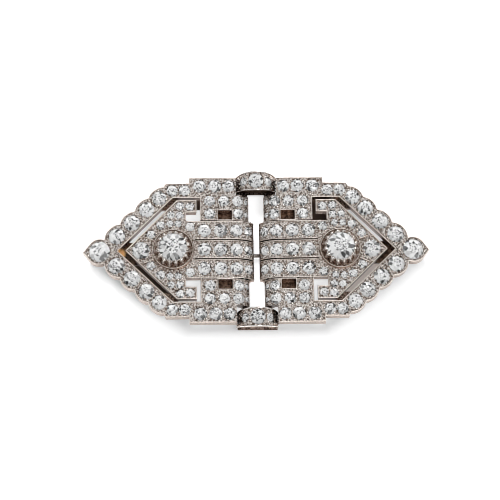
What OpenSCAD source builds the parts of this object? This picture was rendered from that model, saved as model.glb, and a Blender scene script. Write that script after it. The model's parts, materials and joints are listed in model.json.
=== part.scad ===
// Double clip brooch. Two pointed clips, set all over with old cut stones, lie side by side
// on a brooch frame. The frame's two half barrels bridge the clips at the top and the bottom.
// +X runs along the brooch, +Y up its front and +Z out of its front. The origin is the middle
// of the surface that it lies on. One clip is drawn on the +X side and mirrored for the other.

/* [Clip] */
// Length of one clip from its edge at the gap to its point
clip_l = 32.5; // [30.9:0.1:35.4]
// Gap between the two clips at their bands
clip_gap = 1.1; // [0.8:0.1:1.6]
// Height from the centre line to the outer edge of a bar
half_h = 14.3; // [13.9:0.1:15.5]
// Thickness of the metal that holds the stones
plate_t = 1.8; // [1.7:0.05:2.1]
// Height of the dome's crown over the surface that the brooch lies on
front_z = 6; // [5.9:0.1:7]
// Distance of the dome's crown from the middle of the brooch
crown_x = 12; // [10:0.5:15]
// How much lower the point of a clip lies than its crown
tip_drop = 1.45; // [0.8:0.05:1.8]

/* [Bands] */
// Width of one of the three bands
band_w = 3.75; // [3.5:0.05:3.9]
// Distance from the middle at which the bands start to roll down
band_flat_x = 3.75; // [3.4:0.05:4]
// Radius of the roll at the ends of the bands
band_roll_r = 4.4; // [4.2:0.1:5]
// Width of the groove between two bands
groove_w = 0.22; // [0.15:0.01:0.3]
// Depth of that groove
groove_d = 0.6; // [0.3:0.05:0.9]
// Length of the grooves beside the middle band
groove_l = 11.2; // [10:0.1:11.5]
// How far the rows of stones in the bands run past the slot's leg
band_past = 0.8; // [0.6:0.05:0.9]

/* [Side panels and bars] */
// How far the edge of a side panel stands back from the ends of the bands
side_step = 0.9; // [0.6:0.05:1.1]
// Length of a side panel from its edge at the gap to the slot
side_l = 9.2; // [9:0.05:9.6]
// Distance from the middle at which the side panels start to roll down
side_flat_x = 4; // [3.8:0.05:4.2]
// Radius of the roll at the edge of a side panel
side_roll_r = 3.1; // [3:0.05:3.6]
// Distance of the opening in a side panel from the edge of the panel
open_x = 3.2; // [3.1:0.05:3.5]
// Length of that opening along the clip
open_l = 2.7; // [2:0.05:2.8]
// Width of that opening
open_w = 1.9; // [1.5:0.05:2]
// Rim between the outer band and that opening
open_rim = 0.22; // [0.15:0.01:0.3]
// Metal between the outer band and the rows of stones in a side panel
side_row_back = 0.2; // [0.15:0.01:0.25]
// Height of the row of stones in a bar
bar_w = 3.4; // [3.1:0.05:3.6]
// Length of a bar along the clip
bar_l = 8.95; // [8.6:0.05:9.4]
// Gap between a bar's inner end and the half barrel beside it
bar_gap = 0.12; // [0.08:0.01:0.2]
// How far the shoulder past a bar steps in from the bar's edge
shoulder_step = 1.1; // [0.7:0.05:1.4]

/* [Slot] */
// Distance from the outer edge of a bar to the slot
slot_in = 4; // [3.8:0.05:4.2]
// Width of the slot's slanted run
slot_w = 1; // [0.8:0.05:1.2]
// Length of the slot's straight run beside the bar
arm_l = 5.3; // [5.1:0.05:5.8]
// Width of that straight run
arm_w = 0.6; // [0.4:0.05:0.8]
// Width of the slot's leg beside the side panel
leg_w = 0.8; // [0.7:0.05:1]
// Length of the slot's foot beside the outer band
foot_l = 2.85; // [2.2:0.05:3]
// Width of that foot
foot_w = 1.75; // [1.4:0.05:1.8]
// Length of the strut that spans the slot from behind at its upper corner
strut_l = 3.4; // [2:0.1:5]
// Thickness of that strut
strut_t = 0.6; // [0.4:0.05:0.9]

/* [Border and tip] */
// Length from the slot's point to the tip's point
tip_l = 6.65; // [6.4:0.05:7.2]
// Distance from the middle of the tip's stone to the tip's point
tip_reach = 3.15; // [2.9:0.05:3.4]
// Width of the scalloped border
border_w = 4.4; // [4.2:0.05:5]
// Metal outside a border stone
rim_w = 0.5; // [0.3:0.05:0.7]
// Radius of a scallop's edge
scallop_r = 3; // [2.7:0.1:3.4]

/* [Centre] */
// Diameter of the centre stone
centre_d = 5.3; // [4.8:0.1:5.5]
// Metal round the centre stone at the top of its collet
collet_wall = 0.45; // [0.4:0.01:0.55]
// How much wider the collet is at its foot, on the radius
collet_flare = 0.45; // [0.3:0.05:0.5]
// Height of the collet over the clip's front
collet_h = 1.9; // [1.5:0.05:2.4]
// Radius of the flat ring round the collet's foot
ring_r = 3.7; // [3.5:0.05:3.8]
// Height of that ring over the clip's front
ring_h = 0.35; // [0.2:0.05:0.5]
// Number of flutes round the collet
flutes = 16; // [8:1:20]
// Radius of one flute
flute_r = 0.26; // [0.2:0.01:0.3]

/* [Stones] */
// Height of a crown as a share of the stone's diameter
crown_share = 0.17; // [0.13:0.01:0.2]
// Depth of a pavilion as a share of the stone's diameter
pavilion_share = 0.4; // [0.36:0.01:0.41]
// Width of a table as a share of the stone's diameter
table_share = 0.54; // [0.4:0.01:0.65]
// How deep a stone's girdle lies under the metal's face
girdle_sink = 0.15; // [0.1:0.01:0.2]
// Clearance between a stone and its seat
seat_gap = 0.04; // [0.02:0.01:0.06]

/* [Brooch frame] */
// Radius of the half barrels
bridge_r = 3.95; // [3.9:0.01:4]
// Width of a half barrel
bridge_w = 3.8; // [3.6:0.05:4]
// How much further in each end of a half barrel lies at its foot than at its crown
bridge_taper = 0.65; // [0.4:0.05:0.8]
// Gap between a side panel and the half barrel beside it
bridge_gap = 0.6; // [0.3:0.05:0.8]
// How much higher than the clip's crown a half barrel reaches
bridge_rise = 0.8; // [0.6:0.05:1]
// Diameter of the stone on the crown of a half barrel
bridge_stone_d = 2.9; // [2.5:0.05:2.9]
// Diameter of the stones beside it
bridge_side_d = 1.7; // [1.4:0.05:1.7]
// Angle from the crown of the half barrel to those stones
bridge_side_a = 38; // [37:1:42]
// Half the length of the foot under a half barrel
foot_half = 2.6; // [2.4:0.05:3]
// How far the foot stands back under a half barrel
foot_back = 1.3; // [1:0.05:1.4]
// Thickness of the plate between the half barrel and its foot
sole_t = 0.4; // [0.3:0.05:0.5]
// How far that plate stands back under a half barrel
sole_back = 0.3; // [0.2:0.05:0.5]
// Half the length of that plate
sole_half = 3.8; // [3:0.1:3.8]
// Distance of a rail's inner face from the middle
rail_x = 1.6; // [1.5:0.05:1.8]
// Width of a rail
rail_w = 1.2; // [0.9:0.05:1.4]
// Thickness of a rail
rail_t = 1.1; // [0.9:0.05:1.2]
// Height of the underside of the rails and arms over the surface
rail_z = 1.6; // [1.55:0.01:1.7]
// Gap between a rail and the rolled edge over it
rail_gap = 0.15; // [0.1:0.01:0.25]
// Distance from the middle to the outer face of a pin block
arm_x = 18.2; // [16:0.1:20]
// Width of the arms
arm_across = 2; // [1.6:0.1:2.4]
// Thickness of the arms
arm_t = 0.6; // [0.5:0.05:0.7]
// Length of a pin block
block_l = 2.4; // [2:0.1:3]
// Width of a pin block
block_w = 2.6; // [2.2:0.1:3]
// Diameter of the brooch pin
pin_d = 0.7; // [0.6:0.02:0.8]
// Height of the pin's axis over the surface
pin_z = 1.1; // [1:0.01:1.14]
// Clearance round the pin in its blocks
pin_gap = 0.04; // [0.02:0.01:0.06]
// Length of the pin's sharpened point
pin_point = 1.6; // [1:0.1:2]

/* [Clip fitting] */
// Distance of the fitting's hinge plate from the middle
hinge_x = 4.6; // [4.4:0.05:4.65]
// Length of the hinge plate
hinge_l = 5.3; // [4.5:0.1:5.6]
// Half the width of the hinge plate
hinge_half = 8.3; // [7.9:0.1:9]
// Thickness of the hinge plate
hinge_t = 0.8; // [0.7:0.05:1]
// Width of the tongue that the clip grips with
tongue_w = 4.4; // [3.6:0.1:5]
// Thickness of the tongue
tongue_t = 0.7; // [0.6:0.02:0.75]
// How far the tongue runs past the slot's point
tongue_past = 1.1; // [0.5:0.1:1.5]
// Radius of the hinge barrel
barrel_r = 0.55; // [0.4:0.05:0.6]
// How far the hinge barrel runs past the tongue on each side
barrel_past = 1; // [0.5:0.1:1.5]
// Gap between the fitting and the metal over it
fit_gap = 0.11; // [0.08:0.01:0.14]

/* [Hidden] */
$fn = 48;
BIG_FN = 720;
METAL = "#cdc6bf";
GOLD = "#c39a5a";
STEEL = "#b5b2ae";
STONE = "#e4edf2";

// Small overlap and overcut that keep faces from meeting edge on edge
eps = 0.01;
over = 1;

// Places along a clip, measured from the middle of the brooch
gap_x = clip_gap / 2;
side_x = gap_x + side_step;
leg_x = side_x + side_l;
corner_x = leg_x + arm_l;
tip_x = gap_x + clip_l;
apex_x = tip_x - tip_l;
centre_x = leg_x + 0.99 * arm_l;
groove_end = gap_x + groove_l;

// Places across a clip, measured from its centre line
band_edge = 1.5 * band_w;
slot_top = half_h - slot_in;
bar_in = half_h - bar_w;
shoulder = half_h - shoulder_step;
bridge_in = bar_in + bridge_gap;
bridge_y = bridge_in + bridge_w / 2;
rail_end = bridge_in + foot_back + rail_w / 2;

// The slot's slanted outer edge runs from its apex to its corner
slant = [corner_x - apex_x, slot_top];
slant_l = norm(slant);
along = slant / slant_l;
outward = [along.y, -along.x];
inner_apex_x = apex_x - slot_w / along.y;
inner_corner = [inner_apex_x + (slot_top - arm_w) * slant.x / slant.y, slot_top - arm_w];

// The dome is one large cylinder. Each roll is a small one that starts with a slight kink.
kink = 3;
dome_r = ((tip_x - crown_x) ^ 2 + tip_drop ^ 2) / (2 * tip_drop);
dome_mid = [crown_x, front_z - dome_r];
BAND_ROLL = [band_flat_x, band_roll_r];
SIDE_ROLL = [side_flat_x, side_roll_r];
rail_top = rail_z + rail_t;
roll_low = rail_top + rail_gap;
bridge_mid_z = front_z + bridge_rise - bridge_r;

function dome_z(x) = dome_mid.y + sqrt(dome_r ^ 2 - (x - crown_x) ^ 2);
function dome_lean(x) = asin((x - crown_x) / dome_r);
function dome_normal(x) = [sin(dome_lean(x)), cos(dome_lean(x))];
function dome_point(x) = [x, dome_z(x)];
function roll_normal(x) = [sin(dome_lean(x) - kink), cos(dome_lean(x) - kink)];
function roll_mid(roll) = dome_point(roll.x) - roll.y * roll_normal(roll.x);
function face_z(x, roll) = x >= roll.x
    ? dome_z(x)
    : roll_mid(roll).y + sqrt(roll.y ^ 2 - (x - roll_mid(roll).x) ^ 2);
function face_lean(x, roll) = x >= roll.x
    ? dome_lean(x)
    : asin((x - roll_mid(roll).x) / roll.y);

// A bar ends where its lower edge would come too near the half barrel
bar_low = dome_z(side_flat_x) - plate_t;
bar_x = sqrt(bridge_r ^ 2 - (bar_low - bridge_mid_z) ^ 2) + bar_gap;
bar_end = bar_x + bar_l;

// A point beside the slot's slanted edge, so far along it and so far out from it
function by_slant(place, out) = [apex_x, 0] + along * slant_l * place + outward * out;
function mirrored(points) = [for (p = points) [p.x, -p.y]];
function reversed(list) = [for (i = [len(list) - 1:-1:0]) list[i]];

// Stones of the scalloped border, from the tip to the shoulder
// place along the slant, distance out as a share of border_w, diameter as a share of the slant
BORDER_ROW = [
    [0.130, 0.505, 0.220],
    [0.392, 0.455, 0.213],
    [0.652, 0.430, 0.206],
    [0.874, 0.400, 0.193]
];
// Stones of the shoulder
// place past the leg and diameter, as shares of arm_l
SHOULDER_ROW = [
    [0.575, 0.43],
    [1.020, 0.43]
];
shoulder_row_y = slot_top + 0.5 * (shoulder - slot_top);
// Stones of a bar, from its inner end
// place and diameter as shares of bar_l
BAR_ROW = [
    [0.150, 0.268],
    [0.446, 0.285],
    [0.771, 0.285]
];
// Stones of a side panel, from its edge at the gap
// place along the panel and diameter as shares of side_l, row counted from the band
SIDE_ROWS = [
    [0.045, 0.130, 0],
    [0.2065, 0.225, 0],
    [0.810, 0.240, 0],
    [0.045, 0.130, 1],
    [0.220, 0.240, 1],
    [0.516, 0.240, 1],
    [0.810, 0.240, 1]
];
side_row_in = band_edge + side_row_back;
side_row_w = (bar_in - side_row_in) / 2;
// Stones of a band, from its end at the gap
// place and diameter as shares of the band's length up to the arrow panel
BAND_ROW = [
    [0.084, 0.175],
    [0.299, 0.225],
    [0.576, 0.238],
    [0.859, 0.238]
];
band_l = leg_x + band_past - gap_x;
// Stones of the arrow panel near the slot's leg and arm
// place past the leg as a share of arm_l, place and diameter as shares of slot_top
ARROW_BOX = [
    [0.377, 0.825, 0.170],
    [0.736, 0.840, 0.165],
    [0.745, 0.665, 0.150],
    [1.062, 0.670, 0.145],
    [0.377, 0.437, 0.180],
    [0.802, 0.500, 0.140],
    [1.104, 0.500, 0.140]
];
// Stones of the arrow panel along the slant
// place along the slant, diameter as a share of the slant
ARROW_SLANT = [
    [0.630, 0.120],
    [0.452, 0.120]
];
arrow_inset = slot_w + 0.085 * slant_l;

// Each stone is [x, y, diameter, roll that its row follows]
border_upper = [for (r = BORDER_ROW) concat(by_slant(r[0], r[1] * border_w), r[2] * slant_l, [SIDE_ROLL])];
shoulder_upper = [for (r = SHOULDER_ROW) [leg_x + r[0] * arm_l, shoulder_row_y, r[1] * arm_l, SIDE_ROLL]];
bar_upper = [for (r = BAR_ROW) [bar_x + r[0] * bar_l, half_h - bar_w / 2, r[1] * bar_l, SIDE_ROLL]];
side_upper = [
    for (r = SIDE_ROWS)
        [side_x + r[0] * side_l, side_row_in + (r[2] + 0.5) * side_row_w, r[1] * side_l, SIDE_ROLL]
];
arrow_upper = concat(
    [for (r = ARROW_BOX) [leg_x + r[0] * arm_l, r[1] * slot_top, r[2] * slot_top, SIDE_ROLL]],
    [for (r = ARROW_SLANT) concat(by_slant(r[0], -arrow_inset), r[1] * slant_l, [SIDE_ROLL])]
);
function both_halves(upper) = concat(upper, [for (s = upper) [s[0], -s[1], s[2], s[3]]]);

border_stones = both_halves(concat(border_upper, shoulder_upper));
bar_stones = both_halves(bar_upper);
side_stones = both_halves(side_upper);
band_stones = [
    for (row = [-1, 0, 1])
        for (r = BAND_ROW)
            [gap_x + r[0] * band_l, row * band_w, r[1] * band_l, BAND_ROLL]
];
arrow_stones = both_halves(arrow_upper);
tip_stone = [tip_x - tip_reach, 0, 0.605 * tip_l, SIDE_ROLL];
tip_round = tip_stone[2] / 2 + rim_w;
inner_tip_room = inner_apex_x - centre_x - ring_r;
inner_tip_stone = [centre_x + ring_r + 0.445 * inner_tip_room, 0, 0.63 * inner_tip_room, SIDE_ROLL];
centre_seat_z = dome_z(centre_x) + collet_h;

// Heights of the fitting
tongue_end = apex_x + tongue_past;
tongue_top = dome_z(tongue_end) - plate_t - fit_gap;
hinge_top = dome_z(hinge_x) - plate_t - fit_gap;

// Draws its children on the +X side for side 1 and on the -X side for side -1
module on_side(side) {
    mirror([side < 0 ? 1 : 0, 0, 0]) children();
}

// Stands its children on the clip's face, leaning with it
module on_face(x, y, roll) {
    translate([x, y, face_z(x, roll)]) rotate([0, face_lean(x, roll), 0]) children();
}

// Small old cut stone with its girdle at z = 0: an octagonal table, sixteen crown facets
// and eight pavilion facets
module small_stone(d) {
    table = [for (k = [0:7]) [table_share * d / 2 * cos(45 * k), table_share * d / 2 * sin(45 * k), crown_share * d]];
    girdle = [for (k = [0:7]) [d / 2 * cos(45 * k + 22.5), d / 2 * sin(45 * k + 22.5), 0]];
    polyhedron(
        points = concat(table, girdle, [[0, 0, -pavilion_share * d]]),
        faces = concat(
            [reversed([for (k = [0:7]) k])],
            [for (k = [0:7]) [k, (k + 1) % 8, 8 + k]],
            [for (k = [0:7]) [8 + k, (k + 1) % 8, 8 + (k + 1) % 8]],
            [for (k = [0:7]) [8 + k, 8 + (k + 1) % 8, 16]]
        )
    );
}

// Large old cut stone with its girdle at z = 0: table, eight stars, eight kites, sixteen
// upper girdle facets and sixteen pavilion facets
module large_stone(d) {
    r = d / 2;
    star_r = 0.78 * r;
    table_r = table_share * r;
    crown = crown_share * d;
    star_z = crown * (r - star_r * cos(22.5)) / (r - table_r);
    table = [for (k = [0:7]) [table_r * cos(45 * k), table_r * sin(45 * k), crown]];
    stars = [for (k = [0:7]) [star_r * cos(45 * k + 22.5), star_r * sin(45 * k + 22.5), star_z]];
    girdle = [for (k = [0:15]) [r * cos(22.5 * k), r * sin(22.5 * k), 0]];
    polyhedron(
        points = concat(table, stars, girdle, [[0, 0, -pavilion_share * d]]),
        faces = concat(
            [reversed([for (k = [0:7]) k])],
            [for (k = [0:7]) [k, (k + 1) % 8, 8 + k]],
            [for (k = [0:7]) [(k + 1) % 8, 16 + (2 * k + 2) % 16, 8 + k]],
            [for (k = [0:7]) [k, 8 + k, 16 + 2 * k]],
            [for (k = [0:7]) [8 + k, 16 + 2 * k + 1, 16 + 2 * k]],
            [for (k = [0:7]) [8 + k, 16 + (2 * k + 2) % 16, 16 + 2 * k + 1]],
            [for (k = [0:15]) [16 + k, 16 + (k + 1) % 16, 32]]
        )
    );
}

// Room for a stone: a straight wall round the girdle and a cone under it
module seat(d) {
    seat_r = d / 2 + seat_gap;
    depth = pavilion_share * d + 2 * seat_gap;
    translate([0, 0, -girdle_sink - seat_gap]) cylinder(h = girdle_sink + over, r = seat_r);
    translate([0, 0, -girdle_sink - seat_gap - depth]) cylinder(h = depth + eps, r1 = seat_gap, r2 = seat_r);
}

// Room for a large stone, open at the back
module open_seat(d) {
    seat(d);
    translate([0, 0, -plate_t - over]) cylinder(h = plate_t + over - girdle_sink - 0.3 * d, r = 0.25 * d);
}

// Lays one small stone on the clip's face for each row of a list
module laid_stones(stones) {
    for (s = stones) on_face(s[0], s[1], s[3]) translate([0, 0, -girdle_sink]) small_stone(s[2]);
}

module laid_seats(stones) {
    for (s = stones) on_face(s[0], s[1], s[3]) seat(s[2]);
}

// Side view of a clip's metal, up to a given depth under its domed and rolled face
module side_view(depth, roll) {
    intersection() {
        translate(dome_mid) circle(r = dome_r - depth, $fn = BIG_FN);
        union() {
            translate(roll_mid(roll)) circle(r = roll.y - depth, $fn = 96);
            translate([roll.x, dome_z(roll.x) - roll.y]) square([tip_x, roll.y + over]);
        }
    }
}

// Layer under the clip's face, from one depth down to another
module face_layer(from, to, roll) {
    rotate([90, 0, 0]) linear_extrude(height = 2 * (half_h + over), center = true) difference() {
        intersection() {
            side_view(from, roll);
            translate([0, roll_low]) square([tip_x + over, front_z + over]);
        }
        side_view(to, roll);
    }
}

// Block with the outline of a clip, without its bands' rolled ends
module clip_block() {
    block_h = front_z + over;
    edge = concat(
        [[side_x, bar_in], [bar_x, bar_in], [bar_x, half_h], [bar_end, half_h]],
        [[bar_end, shoulder], [leg_x + 1.26 * arm_l, shoulder]],
        [for (s = reversed(border_upper)) [s[0], s[1]]]
    );
    linear_extrude(height = block_h) polygon(concat(edge, [[tip_stone[0], 0]], reversed(mirrored(edge))));
    for (half = [1, -1], s = border_upper) {
        inward = scallop_r - s[2] / 2 - rim_w;
        translate([s[0] - inward * outward.x, half * (s[1] - inward * outward.y), 0])
            cylinder(h = block_h, r = scallop_r);
    }
    translate([tip_stone[0], 0, 0]) {
        cylinder(h = block_h, r = tip_round);
        linear_extrude(height = block_h) pointed_tip();
    }
}

// Point that the round setting of the tip stone is drawn out to
module pointed_tip() {
    touch = acos(min(1, tip_round / tip_reach));
    wing = 0.98 * tip_round * [cos(touch), sin(touch)];
    polygon([[0, 0], wing, [tip_reach, 0], [wing.x, -wing.y]]);
}

// The slot round the arrow panel, with its two straight arms, legs and feet
module slot_outline() {
    half = [
        [corner_x, slot_top], [leg_x, slot_top], [leg_x, band_edge],
        [leg_x + foot_l, band_edge], [leg_x + foot_l, band_edge + foot_w],
        [leg_x + leg_w, band_edge + foot_w], [leg_x + leg_w, slot_top - arm_w],
        inner_corner
    ];
    polygon(concat([[apex_x, 0]], half, [[inner_apex_x, 0]], reversed(mirrored(half))));
}

module side_openings() {
    for (s = [-1, 1])
        translate([side_x + open_x, s > 0 ? band_edge + open_rim : -band_edge - open_rim - open_w])
            square([open_l, open_w]);
}

// Everything that is cut through a clip, less the struts that stay at the back of the slot's corners
module pierced() {
    difference() {
        translate([0, 0, -over]) linear_extrude(height = front_z + 2 * over) {
            slot_outline();
            side_openings();
        }
        for (s = [-1, 1]) corner_strut(s);
    }
}

module corner_strut(s) {
    across = [slot_top - 0.62 * strut_l, slot_top + 0.13 * strut_l];
    translate([dome_mid.x, 0, dome_mid.y]) rotate([90, 0, 0]) intersection() {
        translate([0, 0, s > 0 ? -across[1] : across[0]]) linear_extrude(height = across[1] - across[0])
            intersection() {
                circle(r = dome_r - plate_t + strut_t, $fn = BIG_FN);
                translate([corner_x - crown_x - 0.3 * strut_l, dome_r - 2 * plate_t]) square([strut_l, 3 * plate_t]);
            }
    }
}

// Grooves between the bands and along the outer bands
module grooves() {
    module strip(y, x0, x1, roll) {
        intersection() {
            face_layer(-over, groove_d, roll);
            translate([x0, y - groove_w / 2, 0]) cube([x1 - x0, groove_w, front_z + over]);
        }
    }
    for (s = [-1, 1]) {
        strip(s * band_w / 2, 0, groove_end, BAND_ROLL);
        strip(s * band_edge, side_x + eps, leg_x + eps, SIDE_ROLL);
    }
}

// Raised collet of the centre stone on its flat ring
module collet() {
    top_r = centre_d / 2 + collet_wall;
    translate([centre_x, 0, dome_z(centre_x)]) difference() {
        union() {
            translate([0, 0, -plate_t / 2]) cylinder(h = plate_t / 2 + ring_h, r = ring_r);
            cylinder(h = collet_h, r1 = top_r + collet_flare, r2 = top_r);
        }
        for (k = [0:flutes - 1])
            rotate([0, 0, k * 360 / flutes])
                translate([top_r + collet_flare, 0, 0])
                    rotate([0, -atan(collet_flare / collet_h), 0])
                        translate([0, 0, ring_h + flute_r])
                            cylinder(h = collet_h, r = flute_r, $fn = 24);
    }
}

// Room for the centre stone in its collet and down through the clip
module centre_seat() {
    translate([centre_x, 0, centre_seat_z]) {
        seat(centre_d);
        translate([0, 0, -collet_h - plate_t - over])
            cylinder(h = collet_h + plate_t + over - girdle_sink - 0.3 * centre_d, r = 0.3 * centre_d);
    }
}

// One clip's soldered metal
module clip_setting() {
    difference() {
        union() {
            intersection() {
                clip_block();
                face_layer(0, plate_t, SIDE_ROLL);
            }
            intersection() {
                translate([gap_x, -band_edge, 0]) cube([side_flat_x + over, 2 * band_edge, front_z + over]);
                face_layer(0, plate_t, BAND_ROLL);
            }
            collet();
        }
        pierced();
        grooves();
        laid_seats(border_stones);
        laid_seats(bar_stones);
        laid_seats(side_stones);
        laid_seats(band_stones);
        laid_seats(arrow_stones);
        on_face(tip_stone[0], 0, SIDE_ROLL) open_seat(tip_stone[2]);
        on_face(inner_tip_stone[0], 0, SIDE_ROLL) open_seat(inner_tip_stone[2]);
        centre_seat();
    }
}

// Hinge plate and tongue on the back of a clip, which grip the cloth
module clip_fitting() {
    translate([hinge_x, -hinge_half, hinge_top - hinge_t]) cube([hinge_l, 2 * hinge_half, hinge_t]);
    translate([hinge_x + hinge_l / 2, -tongue_w / 2, tongue_top - tongue_t])
        cube([tongue_end - hinge_x - hinge_l / 2, tongue_w, tongue_t]);
    translate([hinge_x + hinge_l / 2, 0, hinge_top - hinge_t]) rotate([90, 0, 0])
        cylinder(h = tongue_w + 2 * barrel_past, r = barrel_r, center = true);
}

// Half barrel that bridges the clips, with its plate and the foot that it rests on. Its ends
// slant in from the crown to the foot.
module half_barrel() {
    slope = bridge_taper / bridge_r;
    half_low = bridge_w / 2 - bridge_taper;
    half_high = bridge_w / 2 + slope * over;
    translate([0, bridge_y, bridge_mid_z]) intersection() {
        rotate([90, 0, 0]) cylinder(h = bridge_w + 2 * over, r = bridge_r, center = true, $fn = 96);
        rotate([90, 0, 90]) linear_extrude(height = 2 * (bridge_r + over), center = true) polygon([
            [-half_low, 0], [half_low, 0], [half_high, bridge_r + over], [-half_high, bridge_r + over]
        ]);
    }
    translate([-sole_half, bridge_in + sole_back, bridge_mid_z - sole_t])
        cube([2 * sole_half, bridge_w - 2 * sole_back, sole_t + eps]);
    translate([-foot_half, bridge_in + foot_back, 0])
        cube([2 * foot_half, bridge_w - 2 * foot_back, bridge_mid_z - sole_t / 2]);
}

// Stands its children on the upper half barrel, at an angle from its crown
module on_bridge(angle) {
    translate([bridge_r * sin(angle), bridge_y, bridge_mid_z + bridge_r * cos(angle)])
        rotate([0, angle, 0]) children();
}

// Places its children on the top half for half 1 and on the bottom half for half -1
module on_half(half) {
    mirror([0, half < 0 ? 1 : 0, 0]) children();
}

// The frame that carries both clips: half barrels, rails, arms and the blocks of the pin
module frame() {
    difference() {
        union() {
            for (half = [-1, 1]) on_half(half) half_barrel();
            for (side = [-1, 1]) on_side(side) {
                translate([rail_x, -rail_end, rail_z]) cube([rail_w, 2 * rail_end, rail_t]);
                translate([rail_x + rail_w / 2, -arm_across / 2, rail_z])
                    cube([arm_x - rail_x - rail_w / 2, arm_across, arm_t]);
                translate([arm_x - block_l, -block_w / 2, 0]) cube([block_l, block_w, rail_z + arm_t]);
            }
        }
        for (half = [-1, 1]) on_half(half) {
            on_bridge(0) seat(bridge_stone_d);
            for (side = [-1, 1]) on_bridge(side * bridge_side_a) seat(bridge_side_d);
        }
        translate([0, 0, pin_z]) rotate([0, 90, 0])
            cylinder(h = 2 * arm_x - block_l, r = pin_d / 2 + pin_gap, center = true);
    }
}

// Straight pin, held in the left block, with its point in the right one
module pin() {
    half = arm_x - block_l / 2 - pin_gap;
    translate([-half, 0, pin_z]) rotate([0, 90, 0]) {
        cylinder(h = 2 * half - pin_point, d = pin_d);
        translate([0, 0, 2 * half - pin_point - eps]) cylinder(h = pin_point, d1 = pin_d, d2 = pin_d / 4);
    }
}

module centre_stone() {
    translate([centre_x, 0, centre_seat_z - girdle_sink]) large_stone(centre_d);
}

module large_on_face(stone) {
    on_face(stone[0], stone[1], stone[3]) translate([0, 0, -girdle_sink]) large_stone(stone[2]);
}

module left_clip_setting() { color(METAL) on_side(-1) clip_setting(); }
module right_clip_setting() { color(METAL) on_side(1) clip_setting(); }
module left_clip_fitting() { color(GOLD) on_side(-1) clip_fitting(); }
module right_clip_fitting() { color(GOLD) on_side(1) clip_fitting(); }
module brooch_frame() { color(METAL) frame(); }
module brooch_pin() { color(STEEL) pin(); }
module left_centre_stone() { color(STONE) on_side(-1) centre_stone(); }
module right_centre_stone() { color(STONE) on_side(1) centre_stone(); }
module left_tip_stone() { color(STONE) on_side(-1) large_on_face(tip_stone); }
module right_tip_stone() { color(STONE) on_side(1) large_on_face(tip_stone); }
module left_inner_tip_stone() { color(STONE) on_side(-1) large_on_face(inner_tip_stone); }
module right_inner_tip_stone() { color(STONE) on_side(1) large_on_face(inner_tip_stone); }
module bridge_stone() { on_bridge(0) translate([0, 0, -girdle_sink]) large_stone(bridge_stone_d); }
module bridge_side_stones() {
    for (side = [-1, 1])
        on_bridge(side * bridge_side_a) translate([0, 0, -girdle_sink]) small_stone(bridge_side_d);
}
module top_bridge_stone() { color(STONE) on_half(1) bridge_stone(); }
module bottom_bridge_stone() { color(STONE) on_half(-1) bridge_stone(); }
module top_bridge_side_stones() { color(STONE) on_half(1) bridge_side_stones(); }
module bottom_bridge_side_stones() { color(STONE) on_half(-1) bridge_side_stones(); }
module left_border_stones() { color(STONE) on_side(-1) laid_stones(border_stones); }
module right_border_stones() { color(STONE) on_side(1) laid_stones(border_stones); }
module left_bar_stones() { color(STONE) on_side(-1) laid_stones(bar_stones); }
module right_bar_stones() { color(STONE) on_side(1) laid_stones(bar_stones); }
module left_side_stones() { color(STONE) on_side(-1) laid_stones(side_stones); }
module right_side_stones() { color(STONE) on_side(1) laid_stones(side_stones); }
module left_band_stones() { color(STONE) on_side(-1) laid_stones(band_stones); }
module right_band_stones() { color(STONE) on_side(1) laid_stones(band_stones); }
module left_arrow_stones() { color(STONE) on_side(-1) laid_stones(arrow_stones); }
module right_arrow_stones() { color(STONE) on_side(1) laid_stones(arrow_stones); }

left_clip_setting();
right_clip_setting();
left_clip_fitting();
right_clip_fitting();
brooch_frame();
brooch_pin();
left_centre_stone();
right_centre_stone();
left_tip_stone();
right_tip_stone();
left_inner_tip_stone();
right_inner_tip_stone();
top_bridge_stone();
bottom_bridge_stone();
top_bridge_side_stones();
bottom_bridge_side_stones();
left_border_stones();
right_border_stones();
left_bar_stones();
right_bar_stones();
left_side_stones();
right_side_stones();
left_band_stones();
right_band_stones();
left_arrow_stones();
right_arrow_stones();
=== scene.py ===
"""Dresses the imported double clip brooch: cut stones, grains, rims, metals, floor, light and camera.

Lengths are in millimetres, as in part.scad, and become metres where a mesh or a material is made.
Both clips are built as the right one, and the left one's pieces are mirrored.
"""
import json
import math
import random

import bpy
from mathutils import Matrix, Vector


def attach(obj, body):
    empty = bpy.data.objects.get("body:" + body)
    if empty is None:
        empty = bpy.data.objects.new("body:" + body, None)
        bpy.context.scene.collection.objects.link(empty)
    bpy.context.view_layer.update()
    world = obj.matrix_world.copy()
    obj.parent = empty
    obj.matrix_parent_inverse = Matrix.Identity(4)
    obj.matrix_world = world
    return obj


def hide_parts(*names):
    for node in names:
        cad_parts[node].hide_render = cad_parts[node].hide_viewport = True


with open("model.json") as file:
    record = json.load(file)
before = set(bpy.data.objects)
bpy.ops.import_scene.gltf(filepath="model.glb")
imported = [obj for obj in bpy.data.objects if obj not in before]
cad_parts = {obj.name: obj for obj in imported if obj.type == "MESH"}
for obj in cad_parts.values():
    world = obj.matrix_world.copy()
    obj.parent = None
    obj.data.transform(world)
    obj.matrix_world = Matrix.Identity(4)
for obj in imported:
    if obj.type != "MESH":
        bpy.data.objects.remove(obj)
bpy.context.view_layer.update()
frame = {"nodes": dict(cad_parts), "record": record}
MM = 0.001
rng = random.Random(7)

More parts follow.
